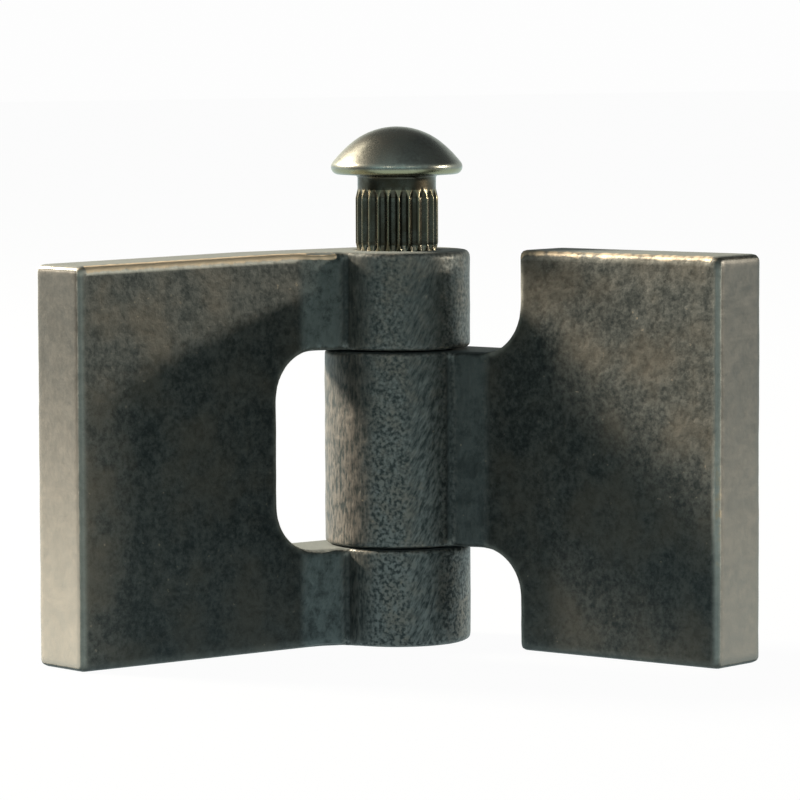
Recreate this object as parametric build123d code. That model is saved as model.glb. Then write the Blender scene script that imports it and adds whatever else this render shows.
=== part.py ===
from build123d import *
import math
import os

# Weld-on butt hinge, in millimetres. The pin axis is +Z through the origin and the hinge stands on z = 0.
# The two-knuckle leaf lies along -X with its weld face towards +Y. The one-knuckle leaf turns about the pin.

# Both leaves: a thick plate with its back face tangent to the barrel
leaf_height = 50.0
leaf_reach = 50.0
plate_thickness = 9.1
barrel_diameter = 18.6
barrel_hollow = 5.0
arm_reach = 19.4
arm_corner = 6.0
edge_round = 0.8
cut_break = 0.3
opening_angle = 101.0

# Knuckles: two short ones at the ends, and the gaps to the long one between them
end_knuckle = 12.4
lower_gap = 0.15
upper_gap = 0.25
mouth_chamfer = 0.3

# Drive pin, standing with its fluted band in the mouth of the top knuckle
pin_diameter = 10.0
pin_clearance = 0.05
pin_setback = 0.5
tip_chamfer = 0.8
neck_length = 1.7
neck_root = 0.35
head_diameter = 16.75
head_height = 6.2
head_rim = 1.55
rim_bevel = 0.5
flank_run = 2.0

# Flutes rolled into the pin below its neck: hollows between crests that stand proud of the shank
flute_length = 8.05
flute_count = 24
flute_crest = 0.26
flute_lead = 1.2
flute_depth = 0.5
flute_radius = 0.55

barrel_radius = barrel_diameter / 2
pin_radius = pin_diameter / 2
bore_radius = pin_radius + pin_clearance
front_face = barrel_radius - plate_thickness
window_bottom = end_knuckle
window_top = leaf_height - end_knuckle
arm_bottom = window_bottom + lower_gap
arm_top = window_top - upper_gap
head_seat = leaf_height - mouth_chamfer + flute_length + neck_length


def leaf_section():
    """Section across the pin of a leaf that points along +X, with the hollow that runs up onto the barrel."""
    hollow_y = front_face - barrel_hollow
    hollow_x = math.sqrt((barrel_radius + barrel_hollow) ** 2 - hollow_y**2)
    share = barrel_radius / (barrel_radius + barrel_hollow)
    foot = (hollow_x, front_face)
    crown = (hollow_x * share, hollow_y * share)
    back = (0, barrel_radius)
    plate = Polyline(back, (leaf_reach, barrel_radius), (leaf_reach, front_face), foot)
    hollow = TangentArc(foot, crown, tangent=(-1, 0))
    barrel = ThreePointArc(crown, (-barrel_radius, 0), back)
    return make_face([plate, hollow, barrel])


def leaf_blank():
    """The full-height leaf, solid in the barrel, with its outer edges rolled round."""
    blank = extrude(leaf_section(), leaf_height)
    rims = blank.faces().filter_by(Axis.Z).edges()
    end_corners = blank.edges().filter_by(Axis.Z).group_by(Axis.X)[-1]
    return fillet(rims + end_corners, edge_round)


def knuckle_slot(bottom, top):
    """Cutter that clears the barrel and arm between two heights, with round corners at the plate."""
    outside = barrel_diameter
    middle = Pos((arm_reach - outside) / 2, 0, (bottom + top) / 2)
    slot = middle * Box(arm_reach + outside, 2 * barrel_diameter, top - bottom)
    corners = slot.edges().filter_by(Axis.Y).group_by(Axis.X)[-1]
    return fillet(corners.filter_by(lambda corner: 0 < corner.center().Z < leaf_height), arm_corner)


def leaf(slots):
    """A leaf with its slots cut and their edges broken, and the bore for the pin."""
    body = leaf_blank()
    for slot in slots:
        cut = body - slot
        body = chamfer(new_edges(body, slot, combined=cut), cut_break)
    return body - extrude(Circle(bore_radius), leaf_height)


def two_knuckle_leaf():
    body = leaf([knuckle_slot(window_bottom, window_top)])
    circles = body.edges().filter_by(GeomType.CIRCLE)
    rings = circles.filter_by(lambda ring: math.isclose(ring.radius, bore_radius))
    mouths = rings.group_by(Axis.Z)[0] + rings.group_by(Axis.Z)[-1]
    return mirror(chamfer(mouths, mouth_chamfer), about=Plane.YZ)


def one_knuckle_leaf():
    below = knuckle_slot(-arm_corner, arm_bottom)
    above = knuckle_slot(arm_top, leaf_height + arm_corner)
    return Rot(0, 0, opening_angle - 180) * leaf([below, above])


def pin_blank():
    """The turned pin about its axis, from the underside of the head at zero."""
    head_radius = head_diameter / 2
    crest_radius = pin_radius + flute_crest
    tip = pin_setback - leaf_height
    band_top = -neck_length
    band_bottom = band_top - flute_length
    crown = (0, head_height)
    flank_top = (head_radius - flank_run, head_rim + flank_run)
    side = Polyline(
        (0, tip),
        (pin_radius - tip_chamfer, tip),
        (pin_radius, tip + tip_chamfer),
        (pin_radius, band_bottom),
        (crest_radius, band_bottom + flute_lead),
        (crest_radius, band_top - flute_lead),
        (pin_radius, band_top),
        (pin_radius, -neck_root),
        (pin_radius + neck_root, 0),
        (head_radius - rim_bevel, 0),
        (head_radius, rim_bevel),
        (head_radius, head_rim),
        flank_top,
    )
    dome = TangentArc(crown, flank_top, tangent=(1, 0))
    axis = Line(crown, (0, tip))
    return revolve(Plane.XZ * make_face([side, dome, axis]), Axis.Z)


def flute():
    """Cutter for one flute, centred on its round: a rod whose ends slope in towards the hollow's floor."""
    side = Plane.XZ * Polygon(
        (flute_radius, -flute_length / 2),
        (flute_radius, flute_length / 2),
        (-flute_radius, flute_length / 2 - 2 * flute_radius),
        (-flute_radius, 2 * flute_radius - flute_length / 2),
        align=None,
    )
    return Cylinder(flute_radius, flute_length) & extrude(side, flute_radius, both=True)


def drive_pin():
    """The pin with its ring of straight flutes."""
    bite = pin_radius + flute_crest - flute_depth + flute_radius
    band_middle = -neck_length - flute_length / 2
    cutter = flute()
    flutes = [Pos(0, 0, band_middle) * place * cutter for place in PolarLocations(bite, flute_count)]
    return Pos(0, 0, head_seat) * (pin_blank() - flutes)


os.makedirs("parts", exist_ok=True)
export_step(two_knuckle_leaf(), "parts/two_knuckle_leaf.step")
export_step(one_knuckle_leaf(), "parts/one_knuckle_leaf.step")
export_step(drive_pin(), "parts/drive_pin.step")
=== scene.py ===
import math

import bmesh
import bpy
import numpy as np
from mathutils import Matrix, Vector, noise


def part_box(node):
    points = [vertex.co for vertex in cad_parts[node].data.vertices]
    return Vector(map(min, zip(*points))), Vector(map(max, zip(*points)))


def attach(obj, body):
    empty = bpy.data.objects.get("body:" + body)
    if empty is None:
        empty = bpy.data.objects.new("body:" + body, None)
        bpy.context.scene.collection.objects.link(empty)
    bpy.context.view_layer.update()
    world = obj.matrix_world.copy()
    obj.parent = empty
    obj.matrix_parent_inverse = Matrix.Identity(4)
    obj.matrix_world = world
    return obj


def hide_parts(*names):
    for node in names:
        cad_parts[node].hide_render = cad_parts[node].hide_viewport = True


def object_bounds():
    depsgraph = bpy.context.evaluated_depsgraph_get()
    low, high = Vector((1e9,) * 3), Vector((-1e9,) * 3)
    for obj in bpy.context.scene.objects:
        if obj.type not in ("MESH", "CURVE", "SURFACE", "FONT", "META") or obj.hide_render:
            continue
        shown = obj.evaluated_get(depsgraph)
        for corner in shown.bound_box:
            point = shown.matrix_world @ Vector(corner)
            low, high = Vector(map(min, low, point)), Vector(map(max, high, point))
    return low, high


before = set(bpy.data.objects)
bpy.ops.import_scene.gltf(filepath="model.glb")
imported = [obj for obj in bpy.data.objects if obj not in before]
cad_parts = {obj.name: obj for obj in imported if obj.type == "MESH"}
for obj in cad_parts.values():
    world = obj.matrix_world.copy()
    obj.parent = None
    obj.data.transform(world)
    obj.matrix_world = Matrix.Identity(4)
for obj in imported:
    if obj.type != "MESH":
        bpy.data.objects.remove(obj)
cad_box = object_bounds()
MM = 0.001

# Two-knuckle leaf: hot-worked steel under a thin dark mill scale that lies in blotches, rubbed bright along
# the edges. Its top, bottom, end and slot faces were sawn and milled, and are a lighter grey.
LEAF_HEIGHT = 50.0 * MM
LEAF_REACH = 50.0 * MM
FRONT_FACE = 0.2 * MM
BARREL_RADIUS = 9.3 * MM
HOLLOW_REACH = 14.0 * MM
HOLLOW_DEEP = 7.0 * MM
CUT_DEEPER = 0.02 * MM
SLOPE_RISE = 1.25 * MM
KNUCKLE_END = 12.4 * MM
SLOPE_SHORT = 0.35 * MM
PLATE_START = 19.4 * MM
UPPER_PART = 38.0 * MM
VOXEL = 0.33 * MM
EDGE_BAND = 1.2 * MM
FOOT_WEAR = 0.40
SLOT_WEAR = 0.45
END_TOP_WEAR = 0.55
RUB_HEIGHT = 20.0 * MM
RUB_SPREAD = 5.0 * MM
SHARP_EDGE = 0.11
WAVE_LONG = 6.0 * MM
WAVE_SHORT = 1.8 * MM
WAVE_DEEP = 0.05 * MM
WAVE_FINE = 0.025 * MM
SCALE_DARK = (0.018, 0.024, 0.025, 1.0)
SCALE_LIGHT = (0.074, 0.082, 0.080, 1.0)
SCALE_BROWN = (0.078, 0.069, 0.054, 1.0)
BARREL_DARK = (0.032, 0.040, 0.041, 1.0)
BARREL_LIGHT = (0.155, 0.170, 0.168, 1.0)
BARREL_WARM = (0.160, 0.146, 0.124, 1.0)
TOP_DARK = (0.090, 0.106, 0.108, 1.0)
TOP_LIGHT = (0.112, 0.130, 0.132, 1.0)
END_DARK = (0.086, 0.085, 0.080, 1.0)
END_LIGHT = (0.112, 0.111, 0.104, 1.0)
# Painted light: the pale tone at the bottom of the end faces, standing in for light bounced from the table.
END_FLOOR_BOUNCE = (0.380, 0.350, 0.310, 1.0)
POLISHED = (0.330, 0.348, 0.330, 1.0)
WORN_STEEL = (0.360, 0.308, 0.230, 1.0)
# Painted shade colour for concave corners and creases.
CREVICE_SHADE = (0.016, 0.020, 0.020, 1.0)
BLOTCH_SIZE = 9.0 * MM
MOTTLE_SIZE = 1.5 * MM
DENT_SIZE = 1.5 * MM
STREAK_SIZE = 1.2 * MM
BEAD_SIZE = 1.1 * MM
FLECK_SIZE = 0.7 * MM
GRIT_SIZE = 0.5 * MM
PIT_SIZE = 0.45 * MM
SCRATCH_SIZE = 0.42 * MM
STREAK_AND_LAMP_SIDE = math.radians(172.0)
RIDGE_SIDE = math.radians(252.0)
RIDGE_TILT = math.radians(28.0)
RIDGE_AXIS = (-0.64, -0.77, 0.0)
END_EDGE = (48.0 * MM, 49.0 * MM)
BARREL_EDGE = (9.4 * MM, 11.2 * MM)
STRIP_EDGE = (9.5 * MM, 10.6 * MM)
SWEPT_INSIDE = 1.2 * MM
SWEPT_OUTSIDE = 0.5 * MM
UPRIGHT_EDGE = (23.4 * MM, 25.0 * MM)
LEAF_BUMP = 0.35 * MM


class Socket:
    """One output in a node tree. Arithmetic on it adds Math nodes to the same tree."""

    def __init__(self, tree, output=None):
        self.tree = tree
        self.output = output

    def node(self, kind, settings=(), inputs=(), output=0):
        """Adds a node: first its settings, then a value or a link for each socket that is named."""
        made = self.tree.nodes.new(kind)
        for name, value in dict(settings).items():
            setattr(made, name, value)
        for name, value in dict(inputs).items():
            if isinstance(value, Socket):
                self.tree.links.new(value.output, made.inputs[name])
            else:
                made.inputs[name].default_value = value
        return Socket(self.tree, made.outputs[output] if made.outputs else None)

    def maths(self, operation, *values):
        return self.node("ShaderNodeMath", {"operation": operation}, enumerate(values))

    def __add__(self, other):
        return self.maths("ADD", self, other)

    def __sub__(self, other):
        return self.maths("SUBTRACT", self, other)

    def __rsub__(self, other):
        return self.maths("SUBTRACT", other, self)

    def __mul__(self, other):
        return self.maths("MULTIPLY", self, other)

    __radd__ = __add__
    __rmul__ = __mul__

    def above(self, low, high):
        """A soft step: 0 below low, 1 above high."""
        ends = {"Value": self, "From Min": low, "From Max": high}
        return self.node("ShaderNodeMapRange", {"interpolation_type": "SMOOTHSTEP"}, ends)

    def blend(self, first, second):
        """The first colour where this mask is 0, the second where it is 1."""
        return self.node("ShaderNodeMix", {"data_type": "RGBA"}, {0: self, 6: first, 7: second}, 2)

    def part(self, axis):
        """One component of a vector."""
        return self.node("ShaderNodeSeparateXYZ", (), {0: self}, axis)

    def turned(self, angle):
        """This vector turned about the pin's axis."""
        ways = {"Vector": self, "Angle": angle}
        return self.node("ShaderNodeVectorRotate", {"rotation_type": "Z_AXIS"}, ways)

    def span(self):
        """The length of a vector."""
        return self.node("ShaderNodeVectorMath", {"operation": "LENGTH"}, {0: self}, "Value")

    def towards(self, angle):
        """How far a vector goes in a level direction."""
        return self.part("X") * math.cos(angle) + self.part("Y") * math.sin(angle)

    def sized(self, size, stretch):
        """This place in steps of a size in metres, drawn out along an axis where stretch is small."""
        steps = tuple(part / size for part in stretch)
        return self.node("ShaderNodeVectorMath", {"operation": "MULTIPLY"}, {0: self, 1: steps})

    def grain(self, size, detail=2.0, rough=0.5, stretch=(1.0, 1.0, 1.0)):
        """Noise with features of about the given size."""
        place = {"Vector": self.sized(size, stretch), "Scale": 1.0}
        return self.node("ShaderNodeTexNoise", (), {**place, "Detail": detail, "Roughness": rough})


def new_material(name):
    made = bpy.data.materials.new(name)
    made.use_nodes = True
    made.node_tree.nodes.clear()
    return made, Socket(made.node_tree)


def leaf_steel(name, turn, front, shift, swept, strip_colour_and_light, lamp_side_colour, pale):
    """Mill scale on a leaf turned about the pin, and the cleaner barrel, out to the reach that is swept, with
    painted light and shade.
    """
    made, start = new_material(name)
    here = start.node("ShaderNodeTexCoord", output="Object")
    facing = start.node("ShaderNodeTexCoord", output="Normal")
    along = here.turned(-turn)
    looks = facing.turned(-turn)
    place = along.node("ShaderNodeVectorMath", {"operation": "ADD"}, {0: along, 1: shift})
    wear_and_crevice_shade = start.node("ShaderNodeAttribute", {"attribute_name": "wear_and_crevice_shade"}, output="Fac")

    upright = looks.part("Z")
    flat = upright.maths("ABSOLUTE", upright).above(0.75, 0.95)
    endward = along.part("X") * -1.0
    outer = (looks.part("X") * -1.0).above(0.88, 0.98) * endward.above(*END_EDGE)
    sawn = flat.maths("MAXIMUM", flat, outer)
    spoke = along.sized(1.0, (1.0, 1.0, 0.0))
    reach = spoke.span()

    blotch = place.grain(BLOTCH_SIZE, 3.0, 0.55)
    mottle = place.grain(MOTTLE_SIZE, 5.0, 0.7)
    grit = place.grain(GRIT_SIZE, 2.0, 0.6)
    fleck = place.grain(FLECK_SIZE, 1.0, 0.5)
    dents = place.grain(DENT_SIZE, 1.5, 0.45)
    streaks = place.grain(STREAK_SIZE, 3.0, 0.6, (0.12, 0.12, 1.0))
    ragged = reach + MM * (mottle - 0.5)
    in_front = (looks.part("Y") * front).above(0.0, 0.4)
    cleaned = (1.0 - ragged.above(swept - SWEPT_INSIDE, swept + SWEPT_OUTSIDE)) * in_front
    strip = cleaned * reach.above(*STRIP_EDGE)
    barrel = cleaned.maths("MAXIMUM", cleaned, 1.0 - ragged.above(*BARREL_EDGE))

    tilted = {"Vector": here, "Angle": RIDGE_TILT, "Axis": RIDGE_AXIS}
    sheared = here.node("ShaderNodeVectorRotate", {"rotation_type": "AXIS_ANGLE"}, tilted)
    # The barrel's side towards the left lamp has real upright scrape marks, and painted light: its colour is
    # set per leaf, a warm lit tone on the one-knuckle leaf and a darker painted shade on the two-knuckle leaf.
    scraped_lamp_side = facing.towards(STREAK_AND_LAMP_SIDE).above(0.72, 0.95)
    brushed = facing.towards(RIDGE_SIDE).above(0.94, 0.995)
    pits = here.grain(PIT_SIZE, 1.0, 0.5)
    upright_marks = here.grain(SCRATCH_SIZE, 2.0, 0.6, (1.0, 1.0, 0.3))
    tilted_marks = sheared.grain(SCRATCH_SIZE, 2.0, 0.6, (1.0, 1.0, 0.25))
    pits = pits + scraped_lamp_side * (upright_marks - pits)
    pits = pits + 0.85 * brushed * (tilted_marks - pits)
    # Painted floor light: towards the bottom the barrel's colour turns lighter and its pits show more
    # contrast, as light from the table falls there.
    low_down = 1.0 - 0.5 * along.part("Z").above(0.2 * LEAF_HEIGHT, LEAF_HEIGHT)
    lower = 1.0 - along.part("Z").above(0.0, 0.9 * LEAF_HEIGHT)
    # Painted raking light: the mottle's colour contrast is stronger on the side towards the left lamp.
    uneven = (0.8 + 1.6 * scraped_lamp_side) * (mottle - 0.5) + 0.3 * (blotch - 0.5)
    net_and_floor_light = 0.46 + 0.14 * lower + 4.0 * low_down * (pits - 0.5) + uneven

    light = (0.45 * mottle + 0.2 * blotch + 0.35 * grit).above(0.36, 0.64)
    scale = light.blend(SCALE_DARK, SCALE_LIGHT)
    scale = (blotch.above(0.4, 0.7) * 0.5).blend(scale, SCALE_BROWN)
    stained = (0.5 * blotch + 0.5 * mottle).above(0.44, 0.62) * 0.7
    bare = scraped_lamp_side.blend(stained.blend(BARREL_LIGHT, BARREL_WARM), lamp_side_colour)
    scale = barrel.blend(scale, net_and_floor_light.blend(BARREL_DARK, bare))
    patchy = (0.6 * mottle + 0.4 * blotch).above(0.36, 0.56)
    # The strip beside the barrel has a cleaner finish, and its tone is set per leaf as the light falls there:
    # painted light, lighter on the two-knuckle leaf and darker on the one-knuckle leaf.
    scale = (strip * 0.9).blend(scale, patchy.blend(BARREL_DARK, strip_colour_and_light))
    bright = fleck.above(0.7, 0.8) * mottle.above(0.52, 0.62) * 0.35
    scale = bright.blend(scale, WORN_STEEL)
    milled = (0.25 * streaks + 0.5 * mottle + 0.25 * grit).above(0.2, 0.8)
    # Painted floor bounce: the sawn end face turns pale towards the bottom, more on the two-knuckle leaf than
    # on the one-knuckle leaf.
    sawn_end = (pale * lower).blend(milled.blend(END_DARK, END_LIGHT), END_FLOOR_BOUNCE)
    colour = flat.blend(scale, milled.blend(TOP_DARK, TOP_LIGHT))
    colour = outer.blend(colour, sawn_end)
    level = along.part("Z") - LEAF_HEIGHT / 2
    upright_edge = 1.0 - level.maths("ABSOLUTE", level).above(*UPRIGHT_EDGE)
    polish = wear_and_crevice_shade.above(0.0, 0.5) * upright_edge * (1.0 - sawn) * (1.0 - barrel)
    colour = (polish * (0.8 + 0.9 * (mottle - 0.5))).blend(colour, POLISHED)
    # Painted shade: the colour darkens in concave corners and creases.
    colour = ((wear_and_crevice_shade * -1.0).above(0.0, 0.6) * 0.8).blend(colour, CREVICE_SHADE)
    beads = place.grain(BEAD_SIZE, 1.0, 0.5)
    rubbed = (wear_and_crevice_shade + 0.9 * (beads - 0.5) + 0.4 * (grit - 0.5)).above(0.5, 1.0)
    colour = rubbed.blend(colour, WORN_STEEL)

    rough = 0.5 + 0.2 * (mottle - 0.5) + 0.15 * (grit - 0.5) + 0.06 * rubbed
    rough = rough + 0.16 * flat - 0.12 * outer - 0.08 * barrel * (1.0 - flat)
    metal = 0.55 + 0.25 * outer - 0.15 * flat - 0.15 * rubbed
    relief = 0.25 * dents + 0.1 * grit + barrel * (0.16 * pits * low_down - 0.1 * grit)
    relief = relief * (1.0 - 0.8 * sawn) + 0.03 * sawn * streaks
    lumps = {"Strength": 1.0, "Distance": LEAF_BUMP, "Height": relief}
    bumpy = relief.node("ShaderNodeBump", (), lumps)
    surface = {"Base Color": colour, "Metallic": metal, "Roughness": rough, "Normal": bumpy}
    steel = colour.node("ShaderNodeBsdfPrincipled", (), {**surface, "Specular IOR Level": 0.25})
    steel.node("ShaderNodeOutputMaterial", (), {"Surface": steel})
    return made


def vertex_rows(values, name):
    """A vector for each vertex, as the rows of an array."""
    rows = np.empty(len(values) * 3)
    values.foreach_get(name, rows)
    return rows.reshape(-1, 3)


def edge_wear_and_crevice_shade(mesh, end_wear, end_rub, top_wear):
    """How bare each vertex is rubbed: most on top edges and at a rub on the end ones. Below 0 in corners,
    which sets the painted shade there.
    """
    places = vertex_rows(mesh.vertices, "co")
    normals = vertex_rows(mesh.vertex_normals, "vector")
    ends = np.empty(len(mesh.edges) * 2, dtype=np.int32)
    mesh.edges.foreach_get("vertices", ends)
    first, second = ends.reshape(-1, 2).T
    way = places[first] - places[second]
    way /= np.linalg.norm(way, axis=1)[:, None] + 1e-12
    total = len(places)
    count = np.bincount(first, minlength=total) + np.bincount(second, minlength=total)
    stand = np.bincount(first, (normals[first] * way).sum(axis=1), total)
    stand -= np.bincount(second, (normals[second] * way).sum(axis=1), total)
    stand /= count
    for _ in range(2):
        spread = np.bincount(first, stand[second], total) + np.bincount(second, stand[first], total)
        stand = 0.5 * stand + 0.5 * spread / count
    height = places[:, 2]
    share = np.full(total, SLOT_WEAR)
    at_end = places[:, 0] < EDGE_BAND - LEAF_REACH
    at_top = height > LEAF_HEIGHT - EDGE_BAND
    rub = np.exp(-(((height - RUB_HEIGHT) / RUB_SPREAD) ** 2))
    share[at_end] = (end_wear + (end_rub - end_wear) * rub)[at_end]
    share[height < EDGE_BAND] = FOOT_WEAR
    share[at_top] = top_wear
    share[at_end & at_top] = END_TOP_WEAR
    share[np.hypot(places[:, 0], places[:, 1]) < BARREL_RADIUS + EDGE_BAND] = SLOT_WEAR
    sharp = np.clip(stand / SHARP_EDGE, -1.0, 1.0)
    return np.where(sharp > 0.0, sharp * share, sharp)


def hammered(mesh, seed, near_rise, far_rise):
    """Dents the skin by a few hundredths of a millimetre, and tilts the sawn top as the cut went."""
    places = vertex_rows(mesh.vertices, "co")
    outward = np.clip((-places[:, 0] - PLATE_START) / (LEAF_REACH - PLATE_START), 0.0, 1.0)
    upper = np.clip((places[:, 2] - UPPER_PART) / (LEAF_HEIGHT - UPPER_PART), 0.0, 1.0)
    places[:, 2] += upper * (near_rise + (far_rise - near_rise) * outward)
    normals = vertex_rows(mesh.vertex_normals, "vector")
    reach = np.hypot(places[:, 0], places[:, 1])
    free = np.where(reach > BARREL_RADIUS + EDGE_BAND, 1.0, 0.0)
    free[(reach > BARREL_RADIUS - 0.2 * MM) & (np.abs(normals[:, 2]) < 0.3)] = 1.0
    free *= np.clip((0.9 - np.abs(normals[:, 2])) / 0.6, 0.0, 1.0)
    for index in np.flatnonzero(free):
        spot = Vector(places[index])
        swell = noise.noise(spot / WAVE_LONG + Vector((seed, 0.0, 0.0)))
        dimple = noise.noise(spot / WAVE_SHORT + Vector((0.0, seed, 0.0)))
        places[index] += normals[index] * free[index] * (WAVE_DEEP * swell + WAVE_FINE * dimple)
    mesh.vertices.foreach_set("co", places.ravel())
    mesh.update()


def prism(name, section, front, bottom, top):
    """An upright block on a section drawn for a leaf along -X with its front towards -Y, or mirrored."""
    count = len(section)
    rows = [(x, -front * y, z) for z in (bottom, top) for x, y in section]
    faces = [tuple(range(count)), tuple(range(2 * count - 1, count - 1, -1))]
    for step in range(count):
        beside = (step + 1) % count
        faces.append((beside, step, step + count, beside + count))
    mesh = bpy.data.meshes.new(name)
    mesh.from_pydata(rows, [], faces)
    block = bmesh.new()
    block.from_mesh(mesh)
    bmesh.ops.recalc_face_normals(block, faces=block.faces)
    block.to_mesh(mesh)
    block.free()
    made = bpy.data.objects.new(name, mesh)
    bpy.context.scene.collection.objects.link(made)
    return made


def corner_block(front):
    """Clears the solid's wide hollow beside the barrel, out to the tight corner of the real leaf."""
    inner = BARREL_RADIUS - CUT_DEEPER
    face = FRONT_FACE - CUT_DEEPER
    first = math.pi + math.asin(face / inner)
    last = math.pi + math.radians(36.0)
    turns = np.linspace(first, last, 14)
    section = [(inner * math.cos(turn), inner * math.sin(turn)) for turn in turns]
    section += [(-HOLLOW_REACH + HOLLOW_DEEP / 2, -HOLLOW_DEEP), (-HOLLOW_REACH, -HOLLOW_DEEP)]
    section += [(-HOLLOW_REACH, -face)]
    return prism("corner_block", section, front, -EDGE_BAND, LEAF_HEIGHT + EDGE_BAND)


def slope_block(front, swept, bottom, top):
    """The slope that an arm's front takes up to the barrel, from a crease at the reach that is swept."""
    root = BARREL_RADIUS - SLOPE_RISE
    inside = BARREL_RADIUS / 2
    section = [(-swept, FRONT_FACE), (-root, -SLOPE_RISE), (-root, inside), (-swept, inside)]
    return prism("slope_block", section, front, bottom + SLOPE_SHORT, top - SLOPE_SHORT)


def dense_leaf(node, turn, front, seed, worn, near_rise, far_rise, swept, arms):
    """A fine, even mesh of a leaf's solid, made with the leaf laid along -X and then turned back."""
    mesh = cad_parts[node].data.copy()
    solid = bmesh.new()
    solid.from_mesh(mesh)
    bmesh.ops.remove_doubles(solid, verts=solid.verts, dist=0.002 * MM)
    solid.to_mesh(mesh)
    solid.free()
    mesh.transform(Matrix.Rotation(-turn, 4, "Z"))
    piece = bpy.data.objects.new(node + "_steel", mesh)
    bpy.context.scene.collection.objects.link(piece)
    blocks = [(corner_block(front), "DIFFERENCE")]
    blocks += [(slope_block(front, swept, bottom, top), "UNION") for bottom, top in arms]
    for block, operation in blocks:
        shaped = piece.modifiers.new(block.name, "BOOLEAN")
        shaped.operation = operation
        shaped.solver = "EXACT"
        shaped.object = block
    remesh = piece.modifiers.new("even", "REMESH")
    remesh.mode = "VOXEL"
    remesh.voxel_size = VOXEL
    smooth = piece.modifiers.new("soft", "SMOOTH")
    smooth.factor = 0.5
    smooth.iterations = 3
    shown = piece.evaluated_get(bpy.context.evaluated_depsgraph_get())
    fine = bpy.data.meshes.new_from_object(shown)
    piece.modifiers.clear()
    piece.data = fine
    for block, _ in blocks:
        bpy.data.objects.remove(block)
    wear_and_crevice_shade = edge_wear_and_crevice_shade(fine, *worn)
    hammered(fine, seed, near_rise, far_rise)
    fine.attributes.new("wear_and_crevice_shade", "FLOAT", "POINT").data.foreach_set("value", wear_and_crevice_shade)
    fine.transform(Matrix.Rotation(turn, 4, "Z"))
    fine.polygons.foreach_set("use_smooth", [True] * len(fine.polygons))
    fine.update()
    return piece


TWO_SWEPT = 15.8 * MM
# Strip tone on the two-knuckle leaf, set lighter as painted light.
TWO_STRIP = (0.118, 0.142, 0.143, 1.0)
# Painted shade on the two-knuckle barrel's side towards the left lamp, which the leaf shades.
TWO_SHADED_FLANK = (0.095, 0.100, 0.095, 1.0)
TWO_WORN = (0.42, 0.42, 1.9)
TWO_ARMS = ((0.0, KNUCKLE_END), (LEAF_HEIGHT - KNUCKLE_END, LEAF_HEIGHT))
two_knuckle = dense_leaf(
    "two_knuckle_leaf",
    turn=0.0,
    front=-1,
    seed=3.0,
    worn=TWO_WORN,
    near_rise=0.0,
    far_rise=-0.5 * MM,
    swept=TWO_SWEPT,
    arms=TWO_ARMS,
)
two_steel = leaf_steel(
    "two_knuckle_steel",
    turn=0.0,
    front=-1,
    shift=(0.0, 0.0, 0.0),
    swept=TWO_SWEPT,
    strip_colour_and_light=TWO_STRIP,
    lamp_side_colour=TWO_SHADED_FLANK,
    pale=0.9,
)
two_knuckle.data.materials.clear()
two_knuckle.data.materials.append(two_steel)
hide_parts("two_knuckle_leaf")
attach(two_knuckle, "fixed_leaf")

# One-knuckle leaf: the same hot-worked section, with the one long knuckle between two notches. It stands
# turned about the pin from the other leaf, so that the two make the photo's open V.
OPENING = math.radians(101.0)
ONE_SWEPT = 14.6 * MM
# Strip tone on the one-knuckle leaf, set darker as painted shade.
ONE_STRIP = (0.060, 0.072, 0.073, 1.0)
# Painted light: the warm tone that the left lamp gives the one-knuckle barrel's side towards it.
ONE_LIT_FLANK = (0.118, 0.113, 0.105, 1.0)
ONE_WORN = (0.55, 1.1, 1.2)
ONE_RISE = 0.42 * MM
ONE_ARM = (12.55 * MM, 37.35 * MM)
one_knuckle = dense_leaf(
    "one_knuckle_leaf",
    turn=OPENING,
    front=1,
    seed=8.0,
    worn=ONE_WORN,
    near_rise=ONE_RISE,
    far_rise=ONE_RISE,
    swept=ONE_SWEPT,
    arms=(ONE_ARM,),
)
one_steel = leaf_steel(
    "one_knuckle_steel",
    turn=OPENING,
    front=1,
    shift=(0.31, 0.17, 0.23),
    swept=ONE_SWEPT,
    strip_colour_and_light=ONE_STRIP,
    lamp_side_colour=ONE_LIT_FLANK,
    pale=0.4,
)
one_knuckle.data.materials.clear()
one_knuckle.data.materials.append(one_steel)
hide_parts("one_knuckle_leaf")
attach(one_knuckle, "moving_leaf")

# Drive pin: cold-headed and smoother than the leaves, with a domed head, a plain neck and a band of rolled
# flutes that grip the bore. Oil has browned it in the flutes, and their crests are rubbed bright.
PIN_STEEL = (0.270, 0.285, 0.255, 1.0)
PIN_DULL = (0.170, 0.175, 0.160, 1.0)
PIN_BROWN = (0.040, 0.033, 0.021, 1.0)
PIN_CREST = (0.230, 0.210, 0.140, 1.0)
# Painted reflection colour for the rounding under the head's rim.
PIN_TABLE_REFLECTION = (0.300, 0.290, 0.190, 1.0)
PIN_RADIUS = 5.0 * MM
CREST_RADIUS = 5.26 * MM
TIP_CHAMFER = 0.8 * MM
NECK = 1.7 * MM
NECK_ROOT = 0.35 * MM
HEAD_HEIGHT = 6.2 * MM
CAP_RADIUS = 9.1 * MM
CAP_SIDE = 50.0
RIM_ROUND = 0.95 * MM
RIM_SIDE = 38.0
RIM_UNDER = -75.0
BAND = 8.05 * MM
BAND_LEAD = 1.2 * MM
FLUTES = 24
FLUTE_RADIUS = 0.55 * MM
FLUTE_DEPTH = 0.5 * MM
FLUTE_STEPS = 16
FLUTE_END = 1.0 * MM
CREST_FADE = 6.0
PIN_BUMP = 0.12 * MM

pin_low, pin_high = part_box("drive_pin")
head_radius = pin_high[0]
seat = pin_high[2] - HEAD_HEIGHT


def arc(centre, radius, first, last, steps):
    """Points on an arc of a section, from one angle in degrees to another."""
    angles = [math.radians(first + (last - first) * step / steps) for step in range(steps + 1)]
    return [(centre[0] + radius * math.cos(turn), centre[1] + radius * math.sin(turn)) for turn in angles]


def run(start, end, steps):
    """Points on a straight run of a section, without the last."""
    return [tuple(a + (b - a) * step / steps for a, b in zip(start, end)) for step in range(steps)]


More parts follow.
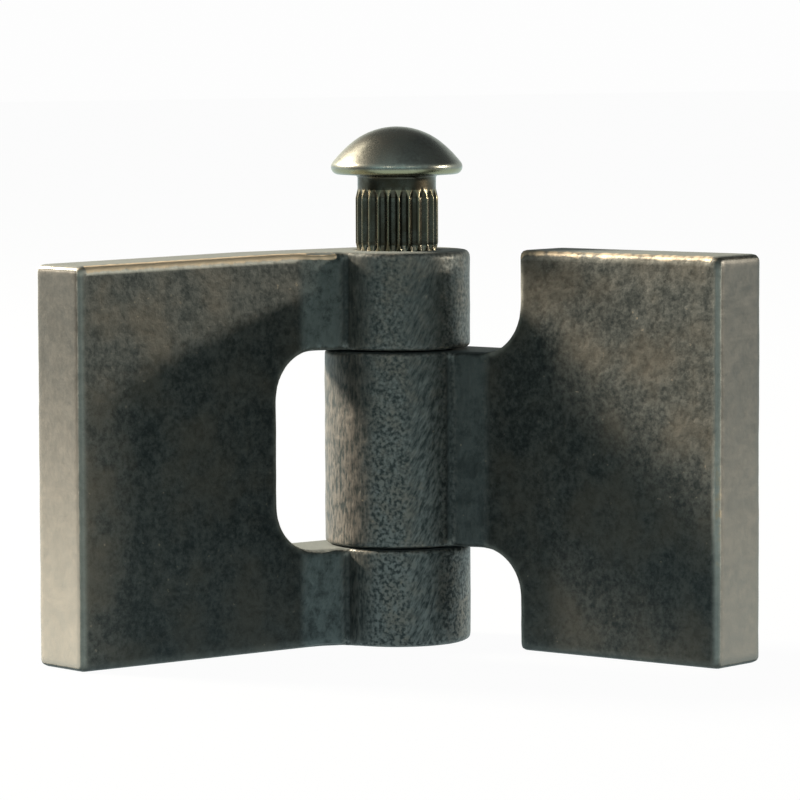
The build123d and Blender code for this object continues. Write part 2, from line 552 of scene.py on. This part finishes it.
def pin_section():
    """The pin's section as (radius, height), from the crown of its head down to its tip."""
    cap_in = math.cos(math.radians(CAP_SIDE))
    cap_up = math.sin(math.radians(CAP_SIDE))
    rim_in = math.cos(math.radians(RIM_SIDE))
    rim_up = math.sin(math.radians(RIM_SIDE))
    flank_radius = (head_radius - CAP_RADIUS * cap_in - RIM_ROUND * (1 - rim_in)) / (rim_in - cap_in)
    cap = arc((0.0, pin_high[2] - CAP_RADIUS), CAP_RADIUS, 90, CAP_SIDE, 22)
    inset = flank_radius - CAP_RADIUS
    flank_centre = (-inset * cap_in, pin_high[2] - CAP_RADIUS - inset * cap_up)
    flank = arc(flank_centre, flank_radius, CAP_SIDE, RIM_SIDE, 12)
    rim_centre = (flank[-1][0] - RIM_ROUND * rim_in, flank[-1][1] - RIM_ROUND * rim_up)
    rim = arc(rim_centre, RIM_ROUND, RIM_SIDE, RIM_UNDER, 16)
    under = run(rim[-1], (PIN_RADIUS + NECK_ROOT, seat), 8)[1:]
    root = arc((PIN_RADIUS + NECK_ROOT, seat - NECK_ROOT), NECK_ROOT, 90, 180, 5)
    band_top = seat - NECK
    band_low = band_top - BAND
    neck = run(root[-1], (PIN_RADIUS, band_top), 4)[1:]
    lead = run((PIN_RADIUS, band_top), (CREST_RADIUS, band_top - BAND_LEAD), 10)
    band = run((CREST_RADIUS, band_top - BAND_LEAD), (CREST_RADIUS, band_low + BAND_LEAD), 14)
    tail = run((CREST_RADIUS, band_low + BAND_LEAD), (PIN_RADIUS, band_low), 10)
    shank = run((PIN_RADIUS, band_low), (PIN_RADIUS, pin_low[2] + TIP_CHAMFER), 24)
    tip = run((PIN_RADIUS, pin_low[2] + TIP_CHAMFER), (PIN_RADIUS - TIP_CHAMFER, pin_low[2]), 4)
    foot = run((PIN_RADIUS - TIP_CHAMFER, pin_low[2]), (0.0, pin_low[2]), 4)
    head = cap[1:] + flank[1:] + rim[1:] + under
    return head + root + neck + lead + band + tail + shank + tip + foot


def hollow_floor(turn, height, radius):
    """Radius to which the flutes cut the pin at an angle and a height. They run out at the band's ends."""
    middle = seat - NECK - BAND / 2
    inside = BAND / 2 - abs(height - middle)
    deep = FLUTE_DEPTH * min(1.0, inside / FLUTE_END)
    bite = radius - deep + FLUTE_RADIUS
    pitch = 2 * math.pi / FLUTES
    across = bite * math.sin((turn + pitch / 2) % pitch - pitch / 2)
    if inside <= 0.0 or abs(across) >= FLUTE_RADIUS:
        return radius
    return min(radius, bite - math.sqrt(FLUTE_RADIUS**2 - across**2))


def drive_pin():
    section = pin_section()
    around = FLUTES * FLUTE_STEPS
    rows = [(0.0, 0.0, pin_high[2])]
    crest = [0.0]
    for radius, height in section:
        for step in range(around):
            turn = 2 * math.pi * step / around
            out = hollow_floor(turn, height, radius)
            rows.append((out * math.cos(turn), out * math.sin(turn), height))
            banded = seat - NECK - BAND < height < seat - NECK
            crest.append(max(0.0, 1.0 - CREST_FADE * (radius - out) / FLUTE_DEPTH) if banded else 0.0)
    rows.append((0.0, 0.0, pin_low[2]))
    crest.append(0.0)
    faces = [(0, 1 + step, 1 + (step + 1) % around) for step in range(around)]
    for level in range(len(section) - 1):
        upper = 1 + level * around
        lower = upper + around
        for step in range(around):
            beside = (step + 1) % around
            faces.append((upper + step, lower + step, lower + beside, upper + beside))
    last = 1 + (len(section) - 1) * around
    faces += [(len(rows) - 1, last + (step + 1) % around, last + step) for step in range(around)]
    mesh = bpy.data.meshes.new("drive_pin_steel")
    mesh.from_pydata(rows, [], faces)
    mesh.attributes.new("crest", "FLOAT", "POINT").data.foreach_set("value", crest)
    mesh.polygons.foreach_set("use_smooth", [True] * len(faces))
    mesh.update()
    piece = bpy.data.objects.new("drive_pin_steel", mesh)
    bpy.context.scene.collection.objects.link(piece)
    return piece


def pin_steel():
    made, start = new_material("pin_steel_finish")
    here = start.node("ShaderNodeTexCoord", output="Object")
    crest = start.node("ShaderNodeAttribute", {"attribute_name": "crest"}, output="Fac")
    height = here.part("Z")
    cloud = here.grain(3.0 * MM, 4.0, 0.6)
    fine = here.grain(0.5 * MM, 3.0, 0.6)
    turned = here.grain(0.6 * MM, 3.0, 0.6, (0.15, 0.15, 1.0))
    brown = (1.0 - height.above(seat - 0.1 * MM, seat + 0.3 * MM)) * (0.85 + 0.5 * (cloud - 0.5))
    colour = (0.6 * cloud + 0.4 * fine).above(0.4, 0.65).blend(PIN_STEEL, PIN_DULL)
    # Painted reflection: the rounding under the head's rim is coloured olive as if it mirrored the lit table.
    off_seat = height.above(seat + 0.2 * MM, seat + 0.4 * MM)
    past_rim = height.above(seat + 0.7 * MM, seat + 1.1 * MM)
    colour = (off_seat * (1.0 - past_rim)).blend(colour, PIN_TABLE_REFLECTION)
    colour = brown.blend(colour, PIN_BROWN)
    colour = (crest * (0.55 + 0.9 * (cloud - 0.5))).blend(colour, PIN_CREST)
    rough = 0.28 + 0.2 * (cloud - 0.5) + 0.15 * (fine - 0.5)
    relief = cloud * 0.2 + fine * 0.08 + turned * 0.06
    lumps = {"Strength": 1.0, "Distance": PIN_BUMP, "Height": relief}
    bumpy = relief.node("ShaderNodeBump", (), lumps)
    surface = {"Base Color": colour, "Metallic": 1.0, "Roughness": rough, "Normal": bumpy}
    steel = colour.node("ShaderNodeBsdfPrincipled", (), surface)
    steel.node("ShaderNodeOutputMaterial", (), {"Surface": steel})
    return made


pin = drive_pin()
pin.data.materials.append(pin_steel())
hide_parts("drive_pin")
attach(pin, "pin")

# Floor: a wide table that the hinge stands on. The camera sees it white, with a faint shadow under the hinge.
# In the steel it is pale near the hinge and behind it, and dims in front. It throws a little cool light up.
FLOOR_HALF = 4.0
FLOOR_MATTE = (0.30, 0.34, 0.34, 1.0)
FLOOR_MIRRORED = (0.84, 1.0, 1.0, 1.0)
FLOOR_GLOW = 0.97
WHITE = (1.0, 1.0, 1.0, 1.0)
BLACK = (0.0, 0.0, 0.0, 1.0)
FRONT = math.radians(230.0)


def rays(start):
    """Masks for what the camera sees directly, and for that with what is mirrored or seen through."""
    seen = start.node("ShaderNodeLightPath", output="Is Camera Ray")
    mirrored = start.node("ShaderNodeLightPath", output="Is Glossy Ray")
    through = start.node("ShaderNodeLightPath", output="Is Transmission Ray")
    return seen, (seen + mirrored + through).above(0.0, 1.0)


floor_mesh = bpy.data.meshes.new("table")
corners = [(-1, -1), (1, -1), (1, 1), (-1, 1)]
floor_rows = [(FLOOR_HALF * x, FLOOR_HALF * y, cad_box[0][2]) for x, y in corners]
floor_mesh.from_pydata(floor_rows, [], [(0, 1, 2, 3)])
floor = bpy.data.objects.new("table", floor_mesh)
bpy.context.scene.collection.objects.link(floor)
floor_material, start = new_material("table_white")
matte = start.node("ShaderNodeBsdfDiffuse", (), {"Color": FLOOR_MATTE})
seen, shown = rays(start)
spot = start.node("ShaderNodeTexCoord", output="Object")
away = spot.span()
ahead = spot.towards(FRONT)
behind = 1.0 - ahead.maths("DIVIDE", ahead, away + MM).above(-0.2, 0.1)
shine = seen.maths("MAXIMUM", seen, 1.0 - 0.85 * away.above(0.08, 0.35) * (1.0 - behind))
tint = shine.blend(BLACK, seen.blend(FLOOR_MIRRORED, WHITE))
glow = tint.node("ShaderNodeEmission", (), {"Color": tint, "Strength": 1.0})
both = shown.node("ShaderNodeMixShader", (), {0: shown * FLOOR_GLOW, 1: matte, 2: glow})
both.node("ShaderNodeOutputMaterial", (), {"Surface": both})
floor_mesh.materials.append(floor_material)

# Light: two warm lamps, a strong one behind on the left and a weak one low on the right, and three faint ones.
# The camera sees a white world, the steel mirrors a room with dark sides, and the rest is a dim cool fill.
FILL = (0.66, 0.95, 1.0, 1.0)
FILL_STRENGTH = 0.12
BACKDROP = (0.78, 0.84, 0.78, 1.0)
FRONT_ROOM = (0.62, 0.86, 0.88, 1.0)
SIDE_ROOM = (0.055, 0.085, 0.090, 1.0)
CEILING_BACK = (0.10, 0.11, 0.11, 1.0)
CEILING_FRONT = (0.50, 0.60, 0.60, 1.0)
HORIZON = (0.985, 0.985, 0.985, 1.0)
RIGHT_WARM = (1.0, 0.88, 0.72)
LEFT_WARM = (1.0, 0.85, 0.67)
LAMP_AIM = Vector((0.0, 0.0, 0.04))
world = bpy.data.worlds.new("studio")
world.use_nodes = True
world.node_tree.nodes.clear()
bpy.context.scene.world = world
start = Socket(world.node_tree)
seen, shown = rays(start)
way = start.node("ShaderNodeTexCoord", output="Generated")
ahead = way.towards(FRONT)
behind = 1.0 - ahead.above(-0.2, 0.1)
low = behind.blend(SIDE_ROOM, BACKDROP)
low = ahead.above(0.45, 0.8).blend(low, FRONT_ROOM)
high = ahead.above(-0.2, 0.8).blend(CEILING_BACK, CEILING_FRONT)
backdrop = way.part("Z").above(0.2, 0.55).blend(low, high)
clear = way.part("Z").above(0.0, 0.15).blend(HORIZON, WHITE)
backdrop = seen.blend(backdrop, clear)
sky = shown.blend(tuple(FILL_STRENGTH * part for part in FILL), backdrop)
light = sky.node("ShaderNodeBackground", (), {"Color": sky, "Strength": 1.0})
light.node("ShaderNodeOutputWorld", (), {"Surface": light})


def lamp(name, place, along, length, width, power, colour):
    """A strip that looks at the hinge. It lies as near to the direction along as that allows."""
    data = bpy.data.lights.new(name, "AREA")
    data.shape = "RECTANGLE"
    data.size = length
    data.size_y = width
    data.color = colour
    data.energy = power
    made = bpy.data.objects.new(name, data)
    bpy.context.scene.collection.objects.link(made)
    back = (Vector(place) - LAMP_AIM).normalized()
    across = (Vector(along) - back * back.dot(Vector(along))).normalized()
    turn = Matrix((across, back.cross(across), back)).transposed().to_4x4()
    made.matrix_world = Matrix.Translation(place) @ turn


lamp(
    "right_lamp",
    place=(0.726, -0.654, 0.251),
    along=(0.19, -0.98, 0.0),
    length=0.12,
    width=0.05,
    power=6.5,
    colour=RIGHT_WARM,
)
lamp(
    "left_lamp",
    place=(-0.404, 0.776, 0.525),
    along=(0.89, 0.46, 0.0),
    length=0.24,
    width=0.14,
    power=66.0,
    colour=LEFT_WARM,
)
lamp(
    "left_glow",
    place=(-0.20, 0.75, 0.62),
    along=(1.0, 0.0, 0.0),
    length=0.50,
    width=0.40,
    power=2.0,
    colour=LEFT_WARM,
)
lamp(
    "front_left_glow",
    place=(-0.76, -0.51, 0.46),
    along=(0.56, -0.83, 0.0),
    length=0.12,
    width=0.08,
    power=0.5,
    colour=RIGHT_WARM,
)
lamp(
    "front_right_glow",
    place=(-0.22, -0.89, 0.46),
    along=(0.97, -0.24, 0.0),
    length=0.12,
    width=0.08,
    power=0.3,
    colour=RIGHT_WARM,
)

# Camera: a long lens from a little above the hinge, as the photo was taken, with a slight roll.
LENS = 212.7
SENSOR = 36.0
NEAREST = 0.05
EYE = Vector((-387.0, -461.7, 77.5)) * MM
LOOK_TURN = math.radians(40.0)
LOOK_DOWN = math.radians(4.44)
ROLL = -0.0036
camera_data = bpy.data.cameras.new("photo_view")
camera_data.lens = LENS
camera_data.sensor_width = SENSOR
camera_data.clip_start = NEAREST
camera = bpy.data.objects.new("photo_view", camera_data)
bpy.context.scene.collection.objects.link(camera)
level = math.cos(LOOK_DOWN)
forward = Vector((math.sin(LOOK_TURN) * level, math.cos(LOOK_TURN) * level, -math.sin(LOOK_DOWN)))
right = Vector((math.cos(LOOK_TURN), -math.sin(LOOK_TURN), 0.0))
up = right.cross(forward)
axes = Matrix((right, up, -forward)).transposed().to_4x4()
camera.matrix_world = Matrix.Translation(EYE) @ axes @ Matrix.Rotation(ROLL, 4, "Z")
bpy.context.scene.camera = camera

bpy.context.scene.view_settings.view_transform = "Standard"
